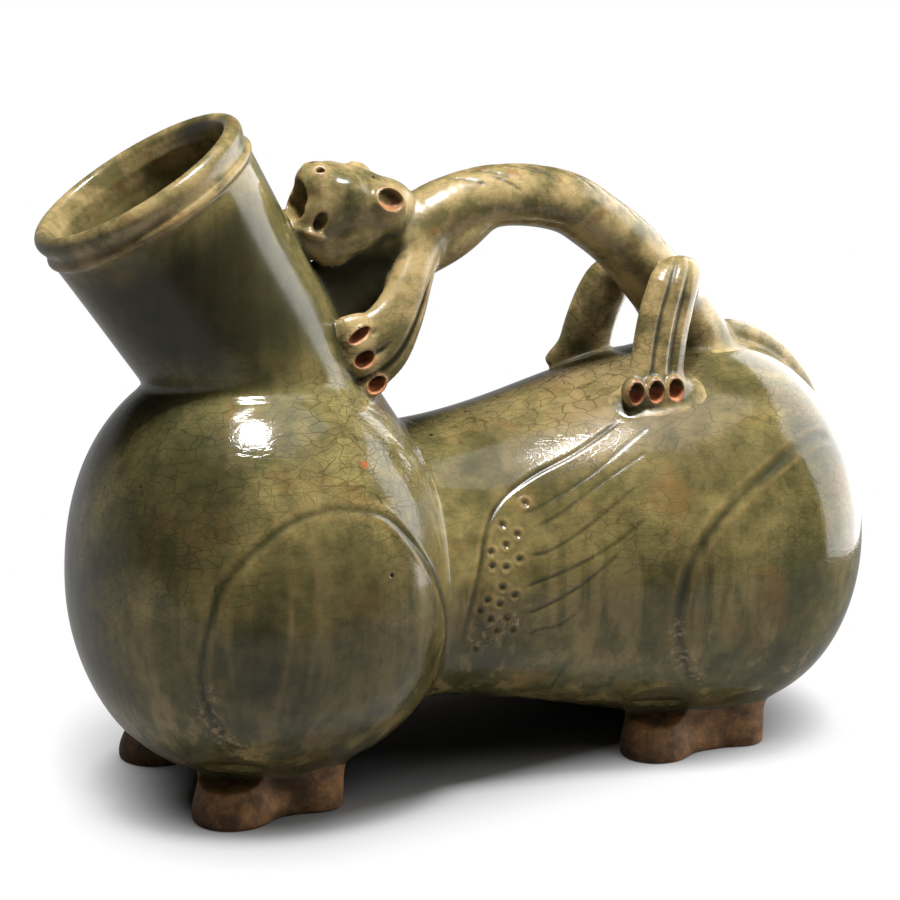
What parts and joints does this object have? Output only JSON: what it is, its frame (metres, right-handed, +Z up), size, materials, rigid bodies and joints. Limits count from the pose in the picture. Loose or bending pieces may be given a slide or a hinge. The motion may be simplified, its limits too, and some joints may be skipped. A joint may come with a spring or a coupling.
{
  "type": "animal-shaped vessel",
  "caption": "Celadon-glazed stoneware vessel with a waisted cocoon body, slanted tubular neck, crawling-beast arched handle and short feet.",
  "frame": {"origin": "on the plane of the foot soles, below the middle of the vessel's length and width", "axes": "+X from the mouth end to the tail end, +Y to the beast's right, +Z up"},
  "size_m": [0.2634, 0.1208, 0.2027],
  "materials": {
    "glaze": "glossy olive celadon glaze with a fine crackle",
    "bare_clay": "unglazed brown fired clay"
  },
  "bodies": {
    "root": {"front_globe": "glaze", "rear_body": "glaze", "neck_tube": "glaze", "handle_trunk": "glaze", "beast_head": "glaze", "beast_ear_left": "glaze", "beast_ear_right": "glaze", "foreleg_left": "glaze", "foreleg_right": "glaze", "hind_leg_left": "glaze", "hind_leg_right": "glaze", "tail": "glaze", "foot_front_left": "bare_clay", "foot_front_right": "bare_clay", "foot_rear_left": "bare_clay", "foot_rear_right": "bare_clay"}
  },
  "joints": []
}
